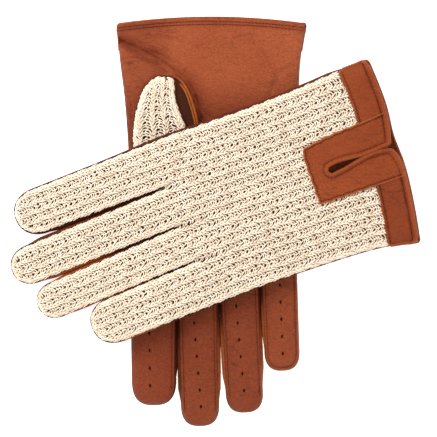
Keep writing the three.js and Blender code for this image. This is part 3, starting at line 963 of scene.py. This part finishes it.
def palm_folds(glove, plan):
    """Heights of the palm's hollows, creases and two long folds, and the painted shade along its creases and
    folds.
    """
    rise = glove.palm_field.rise(plan, ROLL)
    x, y = plan.T
    w = rise * (0.8 * value_noise(plan, 34.0, 1) + 0.25 * value_noise(plan, 11.0, 2))
    stretched = np.stack([x + 0.5 * y, (y - 0.5 * x) * 2.6], axis=1)
    w += rise * 0.16 * np.abs(value_noise(stretched, 7.0, 5))
    broken = 0.75 + 0.5 * value_noise(plan, 4.0, 8)
    shade = np.zeros(len(plan))
    for line, reach, depth in CREASES:
        d = distance_to(plan, spline(line, 1.5))
        w += broken * depth * hump(d, reach) - 0.4 * depth * hump(d - 2.2 * reach, reach)
        # painted shade along each crease
        shade += broken * 0.42 * depth * hump(d, 0.36 * reach)
    fold = distance_to(plan, spline(MAIN_FOLD, 1.5))
    second = distance_to(plan, spline(SECOND_FOLD, 1.5))
    w += rise * (2.2 * hump(fold, 5.5) + 0.7 * hump(second, 2.4) - 0.5 * hump(second - 5, 3))
    # painted shade along the two long folds
    shade += 0.24 * hump(fold, 4.5) + 0.18 * hump(second, 2.2)
    return w, shade


def palm_painted_shading(plan):
    """Painted shade: the palm is darker on its thumb side, darker beyond its middle as a painted shadow of
    the upper glove, and darker towards the fingertips.
    """
    x, y = plan.T
    tone = 0.24 * smooth(x, 22, 34) * (1 - smooth(y, 90, 110)) + 0.30 * smooth(y, 32, 60)
    return tone + (0.19 - 0.12 * smooth(-x, 22, 34)) * smooth(y, 100, 150)


def palm_relief(glove, plan):
    """The palm's outer face, with hollows, creases, hem and seams, and the painted shade that darkens its
    hollows, grooves and seams.
    """
    w, shade = palm_folds(glove, plan)
    w += glove.palm(plan)
    shade += palm_painted_shading(plan)
    welt = distance_to(plan, spline(WELT_PATH, 1.0))
    w -= 1.2 * hump(welt, 2.4)
    # painted shade: a dark line in the groove beside the thumb's welt
    shade += 0.75 * hump(welt - 1.5, 0.45)
    above = plan[:, 1] - glove.cuff_line(plan[:, 0])
    w -= 0.45 * smooth(above, 0.0, 0.6) * (1 - smooth(above, 4.2, 5.4))
    # painted shade over the recessed hem and along its stitch lines
    shade += 0.14 * (1 - smooth(above, 4.0, 5.4))
    for line in HEM_LINES:
        w += 0.40 * hump(above - line, 0.38)
        shade += 0.55 * hump(above - line, 0.35)
    # painted shade along the grooves of the finger seams
    for index in range(4):
        for path in finger_seams(glove, index, SEAM_INSET):
            d = distance_to(plan, path)
            w += 0.34 * hump(d, 0.45)
            shade += 0.3 * hump(d, 0.4)
        for path in finger_seams(glove, index, SEAM_EDGE):
            w -= 0.35 * hump(distance_to(plan, path), 0.7)
    return w, np.clip(shade, 0, 0.9)


def finger_seams(glove, index, inset):
    """The stitched seam lines of one finger, this far in from its edge."""
    finger = glove.fingers[index]
    line = glove.palm_sides[glove.part == index]
    line = line + leftward(line) * inset
    across, up = glove.to_finger(finger, line).T
    keep = (up > ROOT_OVERLAP + 3) & (np.abs(across) < finger["half"] + 2)
    if index == 0:
        keep &= across < 3
    if index < 3:
        keep &= up < finger["length"] - 9
    runs = np.split(line[keep], np.where(np.diff(np.where(keep)[0]) > 1)[0] + 1)
    return [run for run in runs if len(run) > 3]


def finger_owners(glove, points):
    """Which finger each point belongs to, or -1 for the hand."""
    away = np.full((4, len(points)), np.inf)
    for i, finger in enumerate(glove.fingers):
        q = glove.to_finger(finger, points)
        above = q[:, 1] > ROOT_OVERLAP + 2
        away[i, above] = np.abs(q[above, 0]) - glove.half_width(finger, q[above, 1])
    return np.where(away.min(0) < 4.0, away.argmin(0), -1)


def palm_leather(glove):
    holes = [ellipse((32, 50), 5.0, 7.0, 24)] + perforation_rings(glove)
    lines = []
    for above in HEM_LINES:
        for offset in (-0.45, 0, 0.45):
            lines.append(resample(glove.cuff_ends[2:-2], 0.7) + (0, above + offset))
    for line, reach, _ in CREASES:
        fine = resample(spline(line, 1.0), 0.8)
        lines += [fine + leftward(fine) * share * reach for share in (-0.5, 0, 0.5)]
    polygon = resample(rounded(glove.palm_outline), 0.9, closed=True)
    plan, triangles = triangulate(polygon, holes, 1.3, (0.35, 0.75, 1.2, 1.75, 2.3, 3.2), lines)
    w, shade = palm_relief(glove, plan)
    wear = smooth(1.5 - glove.palm_field.at(plan), 0, 1.2) * 0.5
    owner = finger_owners(glove, plan[triangles].mean(1))
    facing = glove.facing(triangles, to_back=False)
    for i, finger in enumerate([None, *glove.fingers]):
        label = f"{finger['name']}_leather" if finger else "palm_leather"
        verts = glove.place(plan, w, finger)
        mine = facing[owner == i - 1]
        piece = thick_piece(f"{glove.name}_{label}_skin", verts, mine, LEATHER, LEATHER_PALM,
                            vertex_normals(verts, facing), wear, shade)
        sew(piece, glove, (f"{glove.name}_{label}",), finger)


def perforation_shadow_sheet(glove):
    """A thin dark strip inside each finger, behind its row of perforations: painted shade, standing for the
    finger's dark inside seen through them.
    """
    half, past = 2.5, 3
    for finger in glove.fingers:
        number, across, across_last, first, pitch = PERFORATIONS[finger["name"]]
        low = first - finger["start"][1] - past
        high = low + past + (number - 1) * pitch + past
        corners = [(across + half, low), (across_last + half, high),
                   (across_last - half, high), (across - half, low)]
        strip = resample(np.array(corners), 1.5, closed=True)
        plan, triangles = triangulate(glove.from_finger(finger, *strip.T), step=1.5, rims=(0.8,))
        w = palm_relief(glove, plan)[0] + LEATHER + 0.3
        panel(glove, f"{finger['name']}_lining", (plan, w, triangles), 0.3, LEATHER_SHADOW,
              "fourchette_leather", finger=finger)


def strip_between(low_path, high_path, low, high, bulge, rows=6):
    """A narrow strip between two plan paths at two heights. Returns plan points, w, triangles."""
    share = np.linspace(0, 1, rows)
    plan = low_path[:, None] + (high_path - low_path)[:, None] * share[None, :, None]
    plan = plan - leftward(high_path)[:, None] * (bulge * np.sin(np.pi * share) ** 0.8)[None, :, None]
    w = np.broadcast_to(low + (high - low) * share, (len(high_path), rows))
    return plan.reshape(-1, 2), w.reshape(-1), grid_triangles(len(high_path), rows)


def strip_painted_light_and_shading(glove, index, plan):
    """Painted light and shade of the strips: painted shade in the slits, and a painted lit tone along the
    outer parts of the three last fingers.
    """
    finger = glove.fingers[index]
    across, along = glove.to_finger(finger, plan).T
    along = along / finger["length"]
    # painted light on the outer parts, out of the slits; painted shade in the slits towards the finger's root
    outer = smooth(along, 0.42, 0.65) * (1 - smooth(along, 0.84, 0.93))
    outer = outer * (index > 0) * np.where((index == 1) & (across > 0), 0.35, 1.0)
    return outer, 0.55 * smooth(along, -0.1, 0.1)


def side_strips(glove):
    """Leather between palm and back: one strip up each side of the hand and one round each finger."""
    walls = {0: ("thumb_side_wall", 0, -1), 3: ("little_side_wall", -1, 1)}
    between = ["index_middle", "middle_ring", "ring_little"]
    heights = PALM_SEAM - 0.1, BACK_SEAM + 0.2, 0.35
    for index, finger in enumerate(glove.fingers):
        mine = glove.part == index
        edges = [glove.palm_sides[mine], glove.back_sides[mine]]
        on_finger = glove.to_finger(finger, edges[1])[:, 1] > 4.5
        surface = strip_between(*(edge[on_finger] for edge in edges), *heights)
        outer, shade = strip_painted_light_and_shading(glove, index, surface[0])
        nodes = [f"fourchette_{between[k]}" for k in (index - 1, index) if 0 <= k < 3]
        replaced = [f"{glove.name}_{label}" for label in (f"{finger['name']}_fourchette", *nodes)]
        panel(glove, f"{finger['name']}_fourchette_strip", surface, 0.6, LEATHER_SIDE,
              "fourchette_leather", True, replaced, finger, wear=0.9 * outer, shade=shade * (1 - outer))
        if index not in walls:
            continue
        label, end, outward = walls[index]
        paths = []
        for edge in edges:
            joined = edge[np.where(on_finger)[0][end]]
            path = np.vstack([joined, edge[~on_finger]] if end else [edge[~on_finger], joined])
            path[:, 0] += outward * CORNER_INSET * (1 - smooth(path[:, 1], 3, 8))
            paths.append(path)
        surface = strip_between(*paths, *heights)
        _, shade = strip_painted_light_and_shading(glove, index, surface[0])
        panel(glove, f"{label}_strip", surface, 0.6, LEATHER_SIDE, "fourchette_leather", True,
              (f"{glove.name}_{label}",), shade=shade)


# ------------------------------------------------------------------ stitches and rolled edges
STITCH_ARCH = np.array([-0.25, 0.12, 0.2, 0.12, -0.25])     # heights along a stitch of radius 0.2
STITCH_RADIUS = 0.2


def stitch_row(glove, name, path, surface, size, finger=None):
    """Thread stitches along a plan path. surface(plan, arch) gives the height of arched thread on the
    leather; size is a stitch's length, the gap after it and the thread's radius."""
    length, gap, radius = size
    fine = resample(path, 0.3)
    lengths = path_lengths(fine)
    starts = np.arange(gap, lengths[-1] - length, length + gap)
    plan = at_lengths(fine, lengths, starts[:, None] + np.linspace(0, length, len(STITCH_ARCH))[None])
    w = surface(plan, STITCH_ARCH * radius / STITCH_RADIUS)
    piece = tubes(f"{glove.name}_{name}", glove.place(plan, w, finger), radius, 5, THREAD)
    sew(piece, glove, finger=finger)


def rolled_edge(glove, name, plan, w, radius, material, replaces=()):
    """A rolled leather edge: a tube along a path."""
    roll = tubes(f"{glove.name}_{name}", glove.place(plan, w)[None], radius, 10, material)
    sew(roll, glove, replaces)


def palm_stitches(glove):
    """Stitches of the palm: two rows in the hem and one beside each finger's seams."""
    def surface(plan, arch):
        return palm_relief(glove, plan.reshape(-1, 2))[0].reshape(plan.shape[:-1]) - arch + 0.05
    for row, above in enumerate(HEM_LINES):
        stitch_row(glove, f"palm_hem_stitches_{row}", glove.cuff[3:-3] + (0, above), surface,
                   (1.35, 0.65, 0.2))
    for index, finger in enumerate(glove.fingers):
        for side, path in enumerate(finger_seams(glove, index, SEAM_INSET)):
            stitch_row(glove, f"{finger['name']}_palm_stitches_{side}", path, surface,
                       (1.2, 0.7, 0.17), finger)


# ------------------------------------------------------------------ cuff bands and the vent
# Half width of the vent at heights up from the cuff: lips curl away at the mouth, then it is shut
# for a while, and its far end is a round keyhole.
VENT_RIGHT = [(4.2, 0.7), (7.8, 0.1), (12.0, 0.1), (21.0, 0.2), (27.0, 1.0), (33.0, 2.0), (39.0, 2.4)]
VENT_LEFT = [(4.3, 2.5), (7.8, 1.3), (12.0, 0.3), (21.0, 0.2), (27.0, 0.9), (33.0, 1.8), (39.0, 2.3)]
KEYHOLE_DROP = 1.4
BINDING_RADIUS = 1.15
BINDING_INSET = 0.75
BINDING_SEAM = (3.3, 2.75)        # inset of the stitches that hold the binding: on the cuff, in the vent
BAND_SEAM = 1.3                   # how far below its upper edge the cuff band is stitched
PATCH_SEAM = 1.5
PATCH_RISE = 0.55                 # how much higher the thread lies where it crosses the patch
PANEL_RIMS = (0.3, 0.7, 1.2, 1.8, 2.6)


def slit_axis(y):
    return VENT_MOUTH_X * (1 - y / VENT_LENGTH)


def slit_line(grow):
    """The vent's outline: up its thumb side, round its keyhole end and down again."""
    right = [(slit_axis(y) + half + grow, y) for y, half in VENT_RIGHT]
    left = [(slit_axis(y) - half - grow, y) for y, half in VENT_LEFT][::-1]
    radius = VENT_END_HALF + grow
    centre = slit_axis(VENT_LENGTH), VENT_LENGTH - KEYHOLE_DROP
    end = [(centre[0] + radius * math.cos(a), centre[1] + radius * math.sin(a))
           for a in np.linspace(0, math.pi, 9)]
    return spline(right + end + left, step=0.8)


def side_points(glove, index, height):
    """Points of a glove's side edge between the cuff's corner and a height, every other one."""
    edge = glove.back_sides[glove.part == index]
    return edge[(edge[:, 1] < height) & (edge[:, 1] > 5.5)]


def binding_line(glove, inset, vent_inset=None, wrap=0.0):
    """One line: the cuff's edge from its thumb end, round the vent, and on to its little end.
    With wrap, it starts and ends that far up the sides of the band."""
    cuff = glove.cuff_ends[::-1]
    out = 0.8 * inset
    mouth_right = [(10.2 + out, 1.1 + glove.cuff_line(10.0) + out)]
    mouth_left = [(-1.4 - out, 1.3 + glove.cuff_line(-1.4) + out)]
    corner = 3.0 if wrap else 1.2
    right = cuff[cuff[:, 0] > 14.5 + inset][::3] + (0, inset)
    left = cuff[cuff[:, 0] < -6.5 - inset][::3] + (0, inset)
    right, left = right[right[:, 0] < cuff[0, 0] - corner], left[left[:, 0] > cuff[-1, 0] + corner]
    if wrap:
        up = side_points(glove, 0, wrap)[::-2] - (0.3, 0)
        down = side_points(glove, 3, wrap)[::2] + (0.3, 0)
        right, left = np.vstack([up, right]), np.vstack([left, down[::-1]])
    else:
        right = np.vstack([cuff[:1] + (-corner, inset), right])
        left = np.vstack([left, cuff[-1:] + (corner, inset)])
    slit = slit_line(inset if vent_inset is None else vent_inset)
    slit = slit[slit[:, 1] > mouth_right[0][1] + 0.7]
    return spline(np.concatenate([right, mouth_right, slit[::2], mouth_left, left]), step=0.8)


def band_polygon(glove, side):
    """One half of the leather band round the cuff, from its side edge to under the patch."""
    cuff = glove.cuff_ends
    if side > 0:
        x = np.linspace(14.0, cuff[-1, 0] + 0.5, 50)
        wall = glove.back_sides[glove.part == 0][:40]
    else:
        x = np.linspace(cuff[0, 0] - 0.5, -9.0, 50)
        wall = glove.back_sides[glove.part == 3][::-1][:40]
    low = np.stack([x, glove.cuff_line(x) + 0.5], axis=1)
    limit = np.interp(low[:, 1] + BAND_WIDTH, wall[:, 1], wall[:, 0])
    share = (x - x[0]) / (x[-1] - x[0])
    x_top = x + ((limit[-1] - x[-1]) * share if side > 0 else (limit[0] - x[0]) * (1 - share))
    high = np.stack([x_top, low[:, 1] + BAND_WIDTH + 0.25 * np.sin(x / 1.9)], axis=1)
    return np.concatenate([low, high[::-1]])


def cuff_bands(glove):
    binding = binding_line(glove, *BINDING_SEAM)
    for side, word in ((1, "thumb"), (-1, "little")):
        polygon = resample(rounded(band_polygon(glove, side), 12), 0.9, closed=True)
        plan, triangles = triangulate(polygon, step=1.1, rims=PANEL_RIMS)
        x = np.linspace(plan[:, 0].min() + 1, plan[:, 0].max() - 1, 80)
        seam = np.stack([x, glove.cuff_line(x) + BAND_WIDTH - BAND_SEAM], axis=1)
        to_binding, to_seam = distance_to(plan, binding), distance_to(plan, seam)
        edge = distance_to(plan, polygon, closed=True)
        w = glove.back(plan) + 0.6 + value_noise(plan, 14.0, 3) * 0.2 + value_noise(plan, 5.0, 4) * 0.07
        w -= 0.5 * hump(to_binding, 0.6) + 0.45 * hump(to_seam, 0.55)
        w -= 0.5 * np.clip(1 - edge / 0.8, 0, 1) ** 2
        # painted shade in the grooves beside the binding and the band's seam; the little side's band is
        # darker all over
        shade = 0.62 * hump(to_binding, 0.38) + 0.5 * hump(to_seam, 0.38) + (0.06 if side > 0 else 0.27)
        label = f"cuff_band_{word}_side"
        panel(glove, f"{label}_panel", (plan, w, triangles), 1.2, LEATHER_TRIM, "trim_leather", True,
              (f"{glove.name}_{label}",), wear=np.clip(1 - edge / 0.7, 0, 1) * 0.7, shade=shade)
        seam = seam[distance_to(seam, polygon, closed=True) > 0.9]
        stitch_row(glove, f"{word}_band_seam_stitches", seam[inside(seam, polygon)],
                   lambda plan, arch: glove.back(plan) + arch + 0.25, (1.5, 0.75, 0.19))


def patch_outline():
    """The patch's three sewn edges, from the cuff on the thumb side round to the cuff again."""
    thumb_side = [(24.6, 2.0), (22.6, 16), (20.9, 32), (19.4, 42)]
    far = [(17.8, 50.0), (17.2, 53.4), (14.6, 55.9), (7, 56.2), (-6, 55.4), (-14, 55.0), (-17.6, 54.4),
           (-18.1, 51.5)]
    little_side = [(-17.4, 36), (-16.6, 20), (-15.6, 2.0)]
    step = 0.7
    line = resample(spline(thumb_side + far + little_side, 1.0), step)
    ripple = 0.22 * np.sin(np.arange(len(line)) * step / 1.1) * (line[:, 1] > 18)
    return line + leftward(line) * ripple[:, None]


def vent_patch(glove):
    outer = patch_outline()
    rim = binding_line(glove, 1.3)
    rim = rim[(rim[:, 0] < outer[0, 0] - 0.5) & (rim[:, 0] > outer[-1, 0] + 0.5)]
    polygon = resample(np.concatenate([outer, rim[::-1]]), 0.8, closed=True)
    plan, triangles = triangulate(polygon, step=1.0, rims=PANEL_RIMS)
    seam = outer + leftward(outer) * PATCH_SEAM
    edge, lips, to_seam = (distance_to(plan, line) for line in (outer, rim, seam))
    to_binding = distance_to(plan, binding_line(glove, *BINDING_SEAM))
    w = glove.back(plan) + 1.15 + value_noise(plan, 9.0, 4) * 0.25 + value_noise(plan, 4.0, 6) * 0.08
    w -= 0.4 * hump(to_seam, 0.5) + 0.5 * hump(to_binding, 0.6)
    w += 0.35 * hump(lips, 1.6) - 0.45 * np.clip(1 - edge / 0.7, 0, 1) ** 2
    # painted shade in the grooves beside the binding and the patch's seam
    shade = 0.62 * hump(to_binding, 0.38) + 0.5 * hump(to_seam, 0.4)
    panel(glove, "vent_patch_panel", (plan, w, triangles), 1.3, LEATHER_TRIM, "trim_leather", True,
          (f"{glove.name}_vent_patch",), wear=np.clip(1 - edge / 0.8, 0, 1) * 0.95, shade=shade)
    stitch_row(glove, "patch_stitches", seam, lambda plan, arch: glove.back(plan) + arch + 0.85,
               (1.3, 0.6, 0.19))


def over_patch(plan):
    """How much a point lies on the patch, 0 or 1 with a short ramp at its edges."""
    return smooth(25.5 - plan[..., 0], 0, 1.5) * smooth(plan[..., 0] + 16.6, 0, 1.5)


def cuff_binding(glove):
    """The rolled edge that runs along the cuff and in one line round the vent."""
    line = binding_line(glove, BINDING_INSET, wrap=BAND_WIDTH + 3)
    w = glove.back(line) + 0.35 + PATCH_RISE * over_patch(line)
    rolled_edge(glove, "vent_binding_roll", line, w, BINDING_RADIUS, LEATHER_EDGE,
                (f"{glove.name}_vent_binding",))

    def surface(plan, arch):
        return glove.back(plan) + arch + 0.25 + PATCH_RISE * over_patch(plan)
    stitch_row(glove, "binding_stitches", binding_line(glove, *BINDING_SEAM), surface,
               (1.5, 0.5, 0.17))
    ring = resample(rounded(glove.palm_outline), 0.9, closed=True)
    ring = np.roll(ring, -int(ring[:, 1].argmax()), axis=0)
    cuff = ring[ring[:, 1] < 7.0] + (0, -0.1)
    rolled_edge(glove, "palm_cuff_roll", cuff, glove.palm(cuff) + 0.75, 0.95, LEATHER_EDGE)


# ------------------------------------------------------------------ thumb
THUMB_ROLL = 9.0
THUMB_MIDDLE = 31.5
GUSSET_PATH = [(24.0, 36.2), (24.5, 40), (24.0, 48), (21.6, 57), (18, 66), (17, 80)]   # its thumb edge


def thumb_row_point(outline, rho, t):
    """Plan point in the thumb's crochet row rho: rows fan out as the thumb widens."""
    on_right = outline[:, 0] < THUMB_MIDDLE
    sides = [side[np.argsort(side[:, 1])] for side in (outline[on_right], outline[~on_right])]
    a, b = (np.interp(np.clip(t, 43, 92), side[:, 1], side[:, 0]) for side in sides)
    return np.stack([a + (b - a) * rho / THUMB_ROWS, t], axis=-1)


def thumb_strands(outline, field, count):
    strands = Strands(count, lambda rho, t: thumb_row_point(outline, rho, t))
    for row in range(THUMB_ROWS):
        strands.rib(row, np.arange(THUMB_START + rng.random(), THUMB_END, CHAIN), np.pi * row)
    for row in range(1, THUMB_ROWS):
        t = np.arange(THUMB_START + CLUSTER * (row * 0.5 % 1), THUMB_END, CLUSTER)
        strands.valley(row, t, (0.14, 0.14), (VALLEY_YARN, VALLEY_YARN))
    strands.drop(lambda plan: ~(field.at(plan).min(1) > 0.9))
    strands.edge(resample(np.vstack([outline, outline[:1]]), 0.5), 1.35, 0.3, 1.6, THUMB_EDGE_YARN)
    return strands.joined()


def thumb_pieces(glove):
    """The folded thumb: a puffed tube with leather towards the palm and crochet away from it."""
    outline = resample(spline(THUMB_OUTLINE, 0.8, closed=True), 1.0, closed=True)
    field = Field(outline)
    plan, height, radius = thumb_strands(outline, field, 5)
    w = -1.4 - 5.0 * field.rise(plan, THUMB_ROLL) - height
    net = tubes(f"{glove.name}_thumb_crochet_net", glove.place(plan, w), radius[:, None], 5, YARN)
    sew(net, glove, (f"{glove.name}_thumb_crochet",), body="thumb")
    plan, triangles = triangulate(outline, step=1.8)
    # the thumb's leather is the side leather, dark with painted shade under its fold
    w = -1.5 + 1.2 * field.rise(plan, THUMB_ROLL)
    panel(glove, "thumb_leather_skin", (plan, w, triangles), 0.9, LEATHER_SIDE, "palm_leather", True,
          (f"{glove.name}_thumb_leather",), body="thumb")
    path = np.vstack([outline, outline[:1]])
    panel(glove, "thumb_side_strip", strip_between(path, path, -1.2, -3.2, 0.5), 0.8, LEATHER_SIDE,
          "fourchette_leather", replaces=(f"{glove.name}_thumb_side",), body="thumb")


def thumb_welt(glove):
    """The rim round the thumb: two rolls side by side, with the gusset between rim and thumb, dark with
    painted shade.
    """
    line = resample(spline(WELT_PATH, 0.8), 0.8)
    fade = smooth(np.arange(len(line)), 0, 12)
    thin, flat = 0.35, -0.4
    for label, offset, radius, height in (("outer", 0.75, 0.72, -1.5), ("inner", -0.75, 0.60, -1.9)):
        rolled_edge(glove, f"thumb_welt_{label}_roll", line + leftward(line) * offset,
                    flat + (height - flat) * fade, thin + (radius - thin) * fade, LEATHER_RIM,
                    (f"{glove.name}_thumb_welt",))
    welt = resample(line, 1.0)
    thumb_side = resample(spline(GUSSET_PATH, 0.8), 1.0)
    count = min(len(welt), len(thumb_side))
    share = np.linspace(0, 1, 8)
    plan = (welt[:count, None] * (1 - share)[None, :, None]
            + thumb_side[:count, None] * share[None, :, None])
    w = -1.3 - 0.3 * (1 - share) + 0.35 * np.sin(np.pi * share ** 0.7)
    surface = plan.reshape(-1, 2), np.tile(w, count), grid_triangles(count, len(share))
    panel(glove, "thumb_gusset", surface, 0.3, LEATHER_SHADOW, "fourchette_leather")


# ------------------------------------------------------------------ the pair and the studio
PARTS = (crochet_back, palm_leather, perforation_shadow_sheet, side_strips, cuff_bands, vent_patch, cuff_binding,
         palm_stitches, thumb_pieces, thumb_welt)
FLOOR_HALF = 3.0
FLOOR_DROP = 0.0002
VIEW_WIDTH = 0.2622               # metres across the picture, at the height of the upper glove
VIEW_HEIGHT = 0.012
VIEW_MIDDLE = (0.0018, 0.0021)
LAMPS = {"key": ((-0.75, 0.75, 1.1), 0.9, 19), "fill": ((0.9, -0.5, 1.2), 1.2, 4)}


def linked(name, data):
    thing = bpy.data.objects.new(name, data)
    bpy.context.scene.collection.objects.link(thing)
    return thing


def studio_floor():
    mesh = bpy.data.meshes.new("floor")
    corners = [(x * FLOOR_HALF, y * FLOOR_HALF, -FLOOR_DROP) for x, y in ((-1, -1), (1, -1), (1, 1), (-1, 1))]
    mesh.from_pydata(corners, [], [(0, 1, 2, 3)])
    mesh.materials.append(Tree("floor_paper").surface(
        Base_Color=(0.93, 0.93, 0.93, 1), Roughness=0.9, Emission_Color=(1, 1, 1, 1), Emission_Strength=0.65))
    linked("floor", mesh)


def studio_light():
    world = bpy.data.worlds.new("studio")
    world.use_nodes = True
    background = world.node_tree.nodes["Background"]
    background.inputs["Color"].default_value = (1, 1, 1, 1)
    background.inputs["Strength"].default_value = 0.92
    bpy.context.scene.world = world
    for name, (place, size, power) in LAMPS.items():
        light = bpy.data.lights.new(name, "AREA")
        light.size = size
        light.energy = power
        lamp = linked(name, light)
        lamp.location = place
        lamp.rotation_euler = (-Vector(place)).to_track_quat("-Z", "Y").to_euler()


def studio_camera():
    camera = bpy.data.cameras.new("camera")
    camera.lens = 300
    camera.sensor_width = 36
    eye = linked("camera", camera)
    eye.location = (*VIEW_MIDDLE, VIEW_WIDTH * camera.lens / camera.sensor_width + VIEW_HEIGHT)
    bpy.context.scene.camera = eye
    bpy.context.scene.view_settings.view_transform = "Standard"


for glove_name in GLOVES:
    pair_glove = Glove(glove_name)
    for make_part in PARTS:
        make_part(pair_glove)
studio_floor()
studio_light()
studio_camera()
